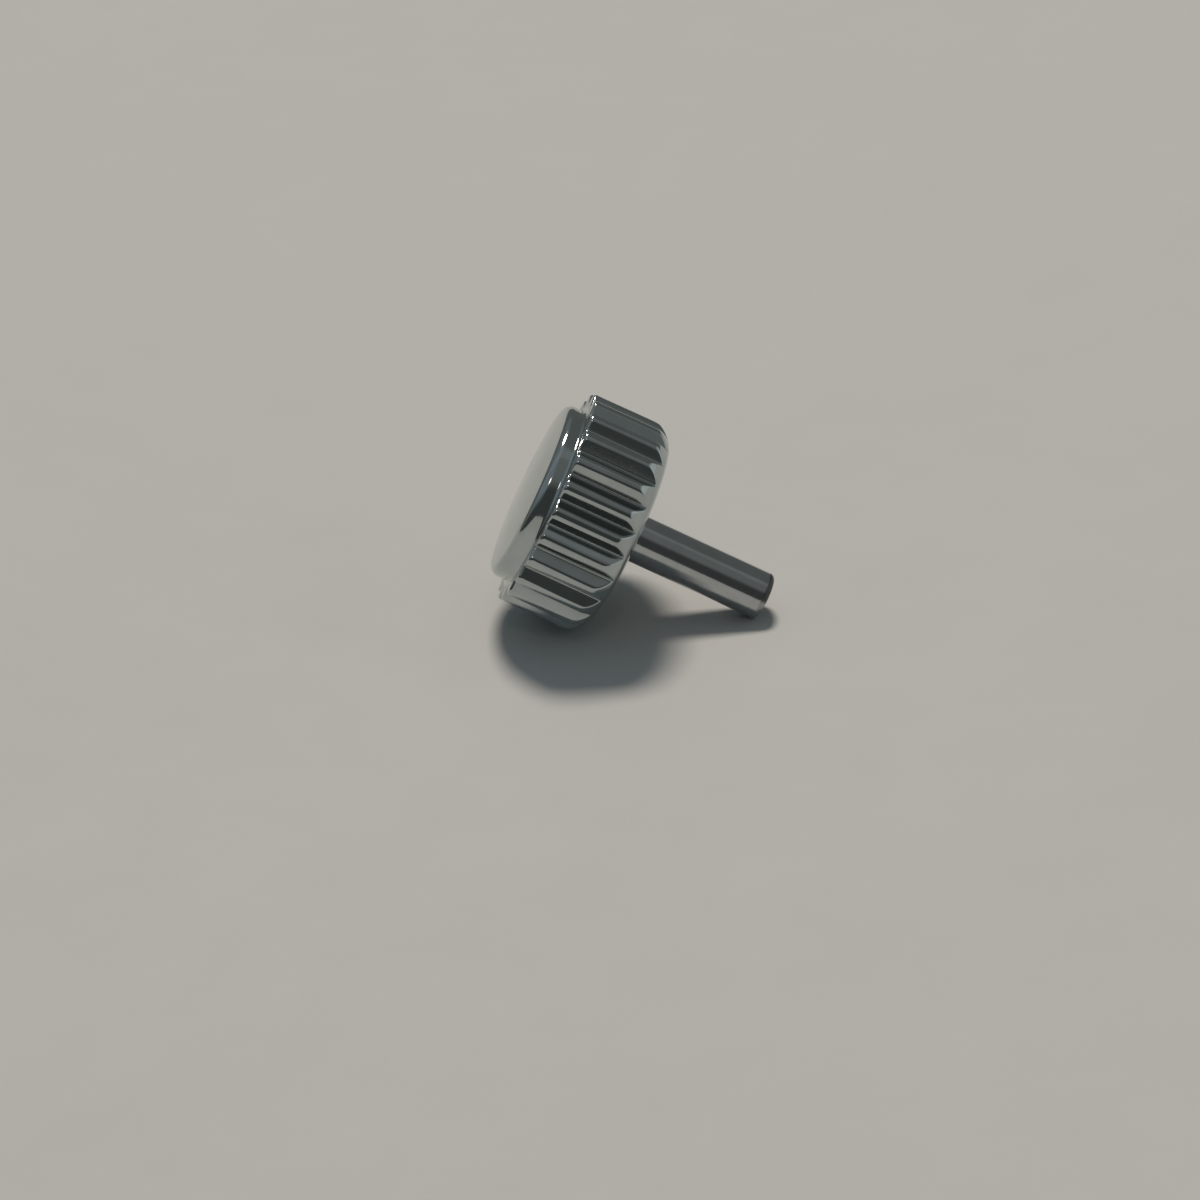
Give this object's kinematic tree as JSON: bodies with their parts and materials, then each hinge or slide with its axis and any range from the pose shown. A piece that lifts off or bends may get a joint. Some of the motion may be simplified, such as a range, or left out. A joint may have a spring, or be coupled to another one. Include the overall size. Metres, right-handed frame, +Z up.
{
  "type": "watch crown and stem",
  "caption": "Polished screw-down watch crown with a fluted rim, a domed face, a threaded core and a sprung, tapped post for the winding stem.",
  "frame": {"origin": "on the surface that the crown lies on, below the middle of the part as it lies on two crests of its rim and on the tip of its post", "axes": "+Z up; +X along the part, from the domed face to the tip of the post, which slopes down by 28 degrees; +Y across the crown"},
  "size_m": [0.0086, 0.007, 0.0071],
  "materials": {
    "cap_steel": "mirror polished",
    "core_steel": "fine turned",
    "post_steel": "polished",
    "washer_brass": "satin",
    "spring_steel": "drawn wire",
    "ring_steel": "satin",
    "gasket_rubber": "matte",
    "o_ring_rubber": "greased"
  },
  "bodies": {
    "crown": {"crown_cap": "cap_steel", "threaded_core": "core_steel", "retaining_ring": "ring_steel", "tube_gasket": "gasket_rubber", "gasket_washer": "ring_steel", "hub_o_ring": "o_ring_rubber", "clutch_spring": "spring_steel"},
    "post": {"stem_post": "post_steel", "thrust_washer": "washer_brass"}
  },
  "joints": [
    {"name": "post_press", "type": "slide", "parent": "crown", "child": "post", "axis": [-0.8839, 0, 0.4678], "range_m": [0, 0.0009], "stiffness_N_per_m": 500, "deforming": ["clutch_spring"]}
  ]
}
